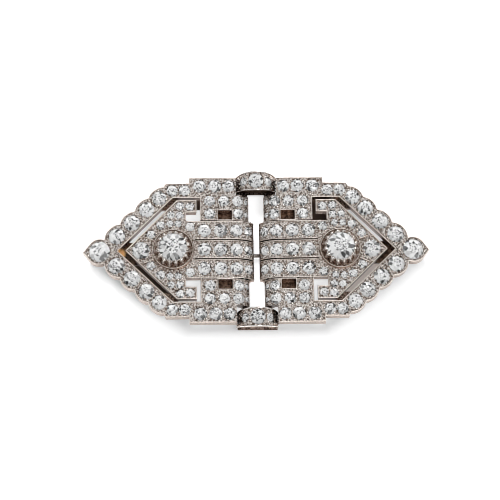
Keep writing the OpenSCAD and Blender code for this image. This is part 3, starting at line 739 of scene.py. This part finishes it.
# The clips
def clip_stones(side, mirror):
    """The cut stones of a clip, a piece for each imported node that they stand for."""
    for field, rows in fields.items():
        shell = Shell()
        for x, y, d, roll in rows:
            set_stone(shell, on_face(x, y, STONE_LIFT - girdle_sink, roll), d)
        shell.make(f"{side}_{field}_cut_stones", clear, "stone", mirror, (f"{side}_{field}_stones",))
    for label, (x, y, d, roll) in (("tip_stone", tip_stone), ("inner_tip_stone", inner_tip_stone)):
        shell = Shell()
        set_stone(shell, on_face(x, y, STONE_LIFT - girdle_sink, roll), d, lean=1.5)
        shell.make(f"{side}_{label}_cut", clear, "stone", mirror, (f"{side}_{label}",))
    shell = Shell()
    seat = Matrix.Translation((centre_x, 0, dome_z(centre_x) + collet_h - girdle_sink + CENTRE_LIFT))
    set_stone(shell, seat, centre_d, lean=1.0)
    shell.make(f"{side}_centre_stone_cut", clear, "stone", mirror, (f"{side}_centre_stone",))


# How far rims end from the gap, and from other edges
GAP_SHORT, EDGE_SHORT = 0.05, 0.1
# How far rims lie over the band's edge, under it, and to each side of a groove
PANEL_UP, BAND_DOWN, GROOVE_SIDE = 0.2, 0.1, 0.2
# The ring's rim: how far outside the ring, its width, and how much higher it stands
RING_OUT, RING_RIM_W, RING_PROUD = 0.1, 0.22, 0.25
# Wall of the kite round the inner tip stone, from the ring past the stone: x and y of its three points
KITE = [(centre_x + 0.93 * ring_r, 1.75), (inner_tip_stone[0] - 0.6, 2.6), (inner_tip_stone[0] + 0.5, 2.45)]


def clip_rims(side, mirror):
    """Thin bright rims along the pierced work, the bands and the outer edge."""
    rims = Shell()
    start, foot_y = gap_x + GAP_SHORT, band_edge + EDGE_SHORT
    panel_line = [(side_x + EDGE_SHORT, band_edge + PANEL_UP), (leg_x, band_edge + PANEL_UP)]
    band_line = [(start, band_edge - BAND_DOWN), (leg_x + foot_l, band_edge - BAND_DOWN)]
    outer_line = [(apex_x + EDGE_SHORT, 0)] + slot_outer[1:-1] + [(leg_x, foot_y)]
    inner_line = [(inner_apex_x - EDGE_SHORT, 0)] + slot_inner[1:-1] + [(leg_x + foot_l, foot_y)]
    # Line, roll that it follows, width, height, shift to the line's left, and whether it closes
    lines = [
        (outer_line, SIDE, 0.24, 0.2, -0.04, False),
        (inner_line, SIDE, 0.24, 0.2, 0.04, False),
        (opening, SIDE, 0.16, 0.12, -0.08, True),
        (outline_up[3:], SIDE, 0.2, 0.14, -0.11, False),
        (panel_line, SIDE, 0.14, 0.12, 0.0, False),
        (band_line, BAND, 0.16, 0.14, 0.0, False),
    ]
    for s in (1, -1):
        for points, roll, w, h, shift, closed in lines:
            rail(rims, [(x, s * y) for x, y in points], roll, w, h, s * shift, closed)
    # Both edges of the two grooves between the bands
    for y in (-band_w / 2, band_w / 2):
        for off in (-GROOVE_SIDE, GROOVE_SIDE):
            rail(rims, [(start, y + off), (groove_end - EDGE_SHORT, y + off)], BAND, 0.15, 0.14)
    ring = arc(centre_x, 0, ring_r + RING_OUT, 0, 360, 40)[:-1]
    rail(rims, ring, SIDE, RING_RIM_W, ring_h + RING_PROUD, closed=True)
    for s in (1, -1):
        rail(rims, [(x, s * y) for x, y in KITE], SIDE, 0.2, 0.3)
        fillet(rims, s)
    rims.make(f"{side}_clip_rims", edging, "setting", mirror)


# Grains round a stone and on bare metal: radius, and how far their middles stay apart
ROUND_R, ROUND_APART = 0.2, 0.36
BARE_R, BARE_APART, BARE_TRIES = 0.17, 0.37, 14000
# Prongs drawn over a stone's edge: least and largest radius, and how far they stand off the face
PRONG_LEAST, PRONG_MOST, PRONG_RISE = 0.16, 0.22, 0.03
# From a stone's girdle: how far in the prongs stand, and how far out the grains
PRONG_IN, ROUND_OUT = 0.02, 0.15
# How far grains and prongs keep from the edges of the metal, and grains from a stone (of their radius)
GRAIN_MARGIN, PRONG_MARGIN, STONE_MARGIN = 0.2, 0.12, 0.3
# Stones wider than this have one prong more, and wider than this two grains more round them
MORE_PRONGS_D, MORE_GRAINS_D = 1.6, 2.2
# The most that grains lean and prongs lean and turn, in degrees
GRAIN_LEAN, PRONG_LEAN, PRONG_TURN = 20, 15, 15


def clip_grains(side, mirror):
    """Prongs and grains that hold the stones, then grains wherever metal is bare."""
    grains = Shell()
    placed = []
    collet_ribs(grains)

    def crowded(x, y, apart):
        return any(math.hypot(x - px, y - py) < apart for px, py in placed)

    def try_grain(x, y, r, apart):
        if not on_metal(x, y, r + GRAIN_MARGIN) or crowded(x, y, apart):
            return
        if any(math.hypot(x - sx, y - sy) < sd / 2 + STONE_MARGIN * r for sx, sy, sd, _ in all_stones):
            return
        placed.append((x, y))
        roll = BAND if abs(y) < band_edge and x < band_flat_x else SIDE
        bead(grains, on_face(x, y, 0.0, roll) @ wobble(GRAIN_LEAN), r * rng.uniform(0.85, 1.15))

    for x, y, d, roll in all_stones:
        prongs = 4 if d < MORE_PRONGS_D else 5
        start = rng.uniform(0, 360)
        for k in range(prongs):
            a = math.radians(start + 360 / prongs * k + rng.uniform(-PRONG_TURN, PRONG_TURN))
            px, py = x + (d / 2 - PRONG_IN) * math.cos(a), y + (d / 2 - PRONG_IN) * math.sin(a)
            if on_metal(px, py, PRONG_MARGIN) and not crowded(px, py, ROUND_APART):
                placed.append((px, py))
                seat = on_face(px, py, PRONG_RISE, roll) @ wobble(PRONG_LEAN)
                bead(grains, seat, rng.uniform(PRONG_LEAST, PRONG_MOST))
        beads = 6 if d < MORE_GRAINS_D else 8
        for k in range(beads):
            a = math.radians(start + 360 / beads * k)
            out = d / 2 + ROUND_OUT
            try_grain(x + out * math.cos(a), y + out * math.sin(a), ROUND_R, ROUND_APART)
    for _ in range(BARE_TRIES):
        try_grain(rng.uniform(gap_x, tip_x), rng.uniform(-half_h, half_h), BARE_R, BARE_APART)
    grains.make(f"{side}_clip_grains", polished, "setting", mirror)


for side, mirror in (("right", False), ("left", True)):
    clip_stones(side, mirror)
    clip_rims(side, mirror)
    clip_grains(side, mirror)

# The two half barrels. Angles are in degrees from the crown
RIM_END, WALL_END, GRAINS_END, BARREL_STEPS = 88, 86, 78, 40
# Section of a rim: place across and height over the barrel
BARREL_RIM = [(-0.13, -0.1), (-0.13, 0.1), (0, 0.16), (0.13, 0.1), (0.13, -0.1)]
# How far the rim's middle lies inside the barrel's end, and the outer wall outside it, lighter than the
# painted wall shade it covers
RIM_INSET, WALL_PROUD = 0.12, 0.02
# Grains: tries, distance apart, from the rims and from the stones, and least and largest radius
BARREL_TRIES, BARREL_APART, FROM_RIM, FROM_STONE = 1500, 0.42, 0.25, 0.1
BARREL_GRAIN_LEAST, BARREL_GRAIN_MOST = 0.17, 0.23
# Angle and diameter of each stone
BARREL_STONES = [(0, bridge_stone_d), (bridge_side_a, bridge_side_d), (-bridge_side_a, bridge_side_d)]


def barrel_half_w(angle):
    """Half the width of a half barrel at an angle."""
    return bridge_w / 2 - bridge_taper * (1 - math.cos(math.radians(angle)))


def barrel_point(angle, y, r):
    """The point at an angle and a distance r round a half barrel's axis."""
    a = math.radians(angle)
    return r * math.sin(a), y, bridge_mid_z + r * math.cos(a)


def even_angles(end):
    """Angles from -end to end, in even steps."""
    return [-end + 2 * end * k / BARREL_STEPS for k in range(BARREL_STEPS + 1)]


def bridge(label, s):
    """Stones, grains, rims and outer wall, lighter than the painted wall shade, of the top (s = 1) or bottom
    (s = -1) half barrel.
    """

    def on_barrel(angle, y=0.0, h=0.0):
        place = barrel_point(angle, s * bridge_y + y, bridge_r + h)
        return Matrix.Translation(place) @ Matrix.Rotation(math.radians(angle), 4, "Y")

    main, small, work = Shell(), Shell(), Shell()
    sunk = STONE_LIFT - girdle_sink
    set_stone(main, on_barrel(0, 0, sunk), bridge_stone_d, lean=1.0, dim=BRIDGE_DIM)
    main.make(f"{label}_bridge_stone_cut", clear, "stone", False, (f"{label}_bridge_stone",))
    for k in (-1, 1):
        set_stone(small, on_barrel(k * bridge_side_a, 0, sunk), bridge_side_d, dim=BRIDGE_DIM)
    small.make(f"{label}_bridge_side_cut_stones", clear, "stone", False, (f"{label}_bridge_side_stones",))

    placed = []
    for _ in range(BARREL_TRIES):
        angle = rng.uniform(-GRAINS_END, GRAINS_END)
        y = rng.uniform(-1, 1) * (barrel_half_w(angle) - RIM_INSET - FROM_RIM)
        u = math.radians(angle) * bridge_r
        if any(math.hypot(u - math.radians(a) * bridge_r, y) < d / 2 + FROM_STONE for a, d in BARREL_STONES):
            continue
        if any(math.hypot(u - p, y - q) < BARREL_APART for p, q in placed):
            continue
        placed.append((u, y))
        place = on_barrel(angle, y) @ wobble(GRAIN_LEAN)
        bead(work, place, rng.uniform(BARREL_GRAIN_LEAST, BARREL_GRAIN_MOST))

    for end in (-1, 1):
        verts = []
        for angle in even_angles(RIM_END):
            y = s * bridge_y + end * (barrel_half_w(angle) - RIM_INSET)
            verts += [barrel_point(angle, y + off, bridge_r + rise) for off, rise in BARREL_RIM]
        work.add(verts, sheet(BARREL_STEPS + 1, len(BARREL_RIM)), smooth=True)

    # The outer wall covers the barrel's outer end, so the bridge metal's painted dark wall shade shows only
    # on its inner end; its own low shade is painted shade too
    verts = []
    foot_y = s * (bridge_y + barrel_half_w(90) + WALL_PROUD)
    for angle in even_angles(WALL_END):
        top = barrel_point(angle, s * (bridge_y + barrel_half_w(angle) + WALL_PROUD), bridge_r)
        verts += [top, (top[0], foot_y, bridge_mid_z)]
    work.add(verts, [face[::-s] for face in sheet(BARREL_STEPS + 1, 2)], shade=0.16)
    work.make(f"{label}_bridge_grains", polished, "frame")


bridge("top", 1)
bridge("bottom", -1)

# Floor. The camera sees the ground through a slot this far up from the slot
SEE_Y = 1.45
# Half the height of the patch along a slanted run, and how much lower it reaches at the slot's corner
RUN_HALF, RUN_CORNER = 0.75, 0.4
# How far its ends lie past the slot's point, back from it, and back from the corner
RUN_PAST, RUN_BACK, CORNER_BACK = 0.6, 0.3, 0.5
# Where the painted shade on the ground under the left clip's upper leg starts
LEG_SHADE_Y = 9.6
# How far the patches under legs and feet reach past the slot's top, past its leg, short of its corner
# and over its foot, and how high all patches lie over the floor
TOP_PAST, LEG_PAST, CORNER_SHORT, FOOT_OVER, PATCH_RISE = 2, 0.5, 1, 0.5, 0.02
# The painted shade on the ground beside the bottom half barrel: nearest and furthest x, lowest and highest y
# from the bar
BESIDE_NEAR, BESIDE_FAR, BESIDE_LOW, BESIDE_HIGH = 2.8, 4.6, 1.2, 2.6
# Half the side of the floor, in metres
FLOOR_HALF = 2


def rectangle(x0, x1, y0, y1):
    """Corners of an upright rectangle."""
    return [(x0, y0), (x1, y0), (x1, y1), (x0, y1)]


# Patches of painted shade on the ground, where the photograph shows it dark: under the left clip's
# lower slanted run and upper leg, under the right clip's upper arm, leg and foot, and beside the bottom half
# barrel
lower_run = [(apex_x + RUN_PAST, SEE_Y - RUN_HALF), (corner_x, SEE_Y - slot_top - RUN_HALF - RUN_CORNER),
             (corner_x - CORNER_BACK, SEE_Y - slot_top + RUN_HALF), (apex_x - RUN_BACK, SEE_Y + RUN_HALF)]
patch_top = slot_top + TOP_PAST
beside_low, beside_high = BESIDE_LOW - bar_in, BESIDE_HIGH - bar_in
painted_shade_patches = [
    [(-x, y) for x, y in lower_run],
    rectangle(-corner_x, LEG_PAST - leg_x, LEG_SHADE_Y, patch_top),
    rectangle(leg_x - LEG_PAST, corner_x - CORNER_SHORT, band_edge + FOOT_OVER, patch_top),
    rectangle(BESIDE_NEAR, BESIDE_FAR, beside_low, beside_high),
    rectangle(-BESIDE_FAR, -BESIDE_NEAR, beside_low, beside_high),
]
# Only a faint painted shade lies on the ground under the right clip's lower slanted run
faint_shade_patch = lower_run[::-1]
floor_verts = [(x, y, 0) for x, y in rectangle(-FLOOR_HALF, FLOOR_HALF, -FLOOR_HALF, FLOOR_HALF)]
for patch in painted_shade_patches + [faint_shade_patch]:
    floor_verts += [(x * MM, y * MM, PATCH_RISE * MM) for x, y in patch]
floor_faces = [list(range(first, first + 4)) for first in range(0, len(floor_verts), 4)]
floor_mesh = bpy.data.meshes.new("floor")
floor_mesh.from_pydata(floor_verts, [], floor_faces)

# The paper glows as painted light: through under the brooch, as its white openings show, less beside
# its edge as a painted shadow where its shadow falls, and again further out. Each row is the place as
# a share of the way from the middle to the brooch's edge, and the glow there
PAINTED_GLOW = [(0.84, 0.70), (0.97, 0.22), (1.0, 0.22), (1.05, 0.36), (1.1, 0.48), (1.3, 0.64)]
GLOW_SPAN = 1.5
paper, wiring, surface = ground("pale_floor", (0.9, 0.9, 0.9), WHITE)
place = wiring.add("ShaderNodeTexCoord").outputs["Object"]
quarter = wiring.add("ShaderNodeVectorMath", {0: place}, operation="ABSOLUTE").outputs["Vector"]
# The brooch's edge is taken as straight lines: its long sides, and one from each bar's end to the tip
slope = half_h / (tip_x - bar_end)
long_side = (0, 1 / (half_h * MM), 0)
point_side = (1 / (tip_x * MM), 1 / (slope * tip_x * MM), 0)
to_side = wiring.add("ShaderNodeVectorMath", {0: quarter, 1: long_side}, operation="DOT_PRODUCT")
to_point = wiring.add("ShaderNodeVectorMath", {0: quarter, 1: point_side}, operation="DOT_PRODUCT")
nearest = {0: to_side.outputs["Value"], 1: to_point.outputs["Value"]}
out_share = wiring.add("ShaderNodeMath", nearest, operation="MAXIMUM").outputs["Value"]
on_ramp = wiring.add("ShaderNodeMath", {0: out_share, 1: GLOW_SPAN}, operation="DIVIDE").outputs["Value"]
glow = wiring.ramp(on_ramp, greys([(share / GLOW_SPAN, level) for share, level in PAINTED_GLOW]))
wiring.links.new(glow, surface["Emission Strength"])

# Colours of the dark and of the faint painted shade on the ground
painted_shade_colour, faint_shade_colour = (0.12, 0.08, 0.06), (0.62, 0.55, 0.51)
floor_mesh.materials.append(paper)
floor_mesh.materials.append(ground("shaded_ground", painted_shade_colour, painted_shade_colour)[0])
floor_mesh.materials.append(ground("faint_shaded_ground", faint_shade_colour, faint_shade_colour, 0.45)[0])
for k in range(len(painted_shade_patches)):
    floor_mesh.polygons[1 + k].material_index = 1
floor_mesh.polygons[1 + len(painted_shade_patches)].material_index = 2
floor = bpy.data.objects.new("floor", floor_mesh)
bpy.context.scene.collection.objects.link(floor)

# Studio around the brooch: patches of dark and light that stones and metal mirror
world = bpy.data.worlds.new("studio")
bpy.context.scene.world = world
world.use_nodes = True
wiring = Wiring(world.node_tree)
around = wiring.add("ShaderNodeTexCoord").outputs["Generated"]
patches = wiring.add("ShaderNodeTexNoise", {"Scale": 9.0, "Detail": 1.5, "Vector": around}).outputs["Fac"]
background = wiring.nodes["Background"].inputs
wiring.links.new(wiring.ramp(patches, greys([(0.44, 0.03), (0.50, 0.25), (0.58, 1.0)])), background["Color"])
background["Strength"].default_value = 1.25


def softbox(name, place, size, watts):
    """Rectangular light, in metres, that faces the brooch."""
    data = bpy.data.lights.new(name, "AREA")
    data.shape = "RECTANGLE"
    data.size, data.size_y = size
    data.energy = watts
    light = bpy.data.objects.new(name, data)
    light.location = place
    light.rotation_mode = "QUATERNION"
    light.rotation_quaternion = (-Vector(place)).to_track_quat("-Z", "Y")
    bpy.context.scene.collection.objects.link(light)
    return light


# The key casts the shadow, and the metal mirrors only the fainter lights
key = softbox("key", (-0.12, 0.36, 0.56), (0.30, 0.2), 3.7)
key.visible_glossy = False
softbox("fill", (0.16, -0.20, 0.6), (0.2, 0.2), 1.0)
softbox("back", (0.1, 0.6, 0.25), (0.4, 0.08), 0.5)

# Camera: degrees round the brooch, over the table and of roll, distance and width of a pixel in
# metres, pixels across the photograph, and what the camera looks at
AZIMUTH, ELEVATION, ROLL = -4.9, 74.0, 4.2
DISTANCE, PIXEL_W, PHOTO_W = 0.350, 0.0001902, 500
TARGET = Vector((0.0, 0.0, 0.0055))
SENSOR_W = 36.0
azimuth, elevation = math.radians(AZIMUTH), math.radians(ELEVATION)
away = Vector((math.sin(azimuth) * math.cos(elevation), -math.cos(azimuth) * math.cos(elevation),
               math.sin(elevation)))
roll_turn = Matrix.Rotation(math.radians(ROLL), 3, "Z").to_quaternion()
camera_data = bpy.data.cameras.new("camera")
camera_data.sensor_width = SENSOR_W
camera_data.lens = SENSOR_W * DISTANCE / (PIXEL_W * PHOTO_W)
camera_data.clip_start, camera_data.clip_end = 0.01, 5.0
camera_data.shift_x, camera_data.shift_y = -0.0134, -0.0008
camera = bpy.data.objects.new("camera", camera_data)
camera.location = TARGET + away * DISTANCE
camera.rotation_mode = "QUATERNION"
camera.rotation_quaternion = (-away).to_track_quat("-Z", "Y") @ roll_turn
bpy.context.scene.collection.objects.link(camera)
bpy.context.scene.camera = camera

scene = bpy.context.scene
scene.view_settings.view_transform = "Standard"
scene.cycles.max_bounces = 14
scene.cycles.filter_width = 0.9
scene.cycles.transmission_bounces = 12
scene.cycles.glossy_bounces = 6
scene.cycles.caustics_refractive = False
scene.cycles.caustics_reflective = False
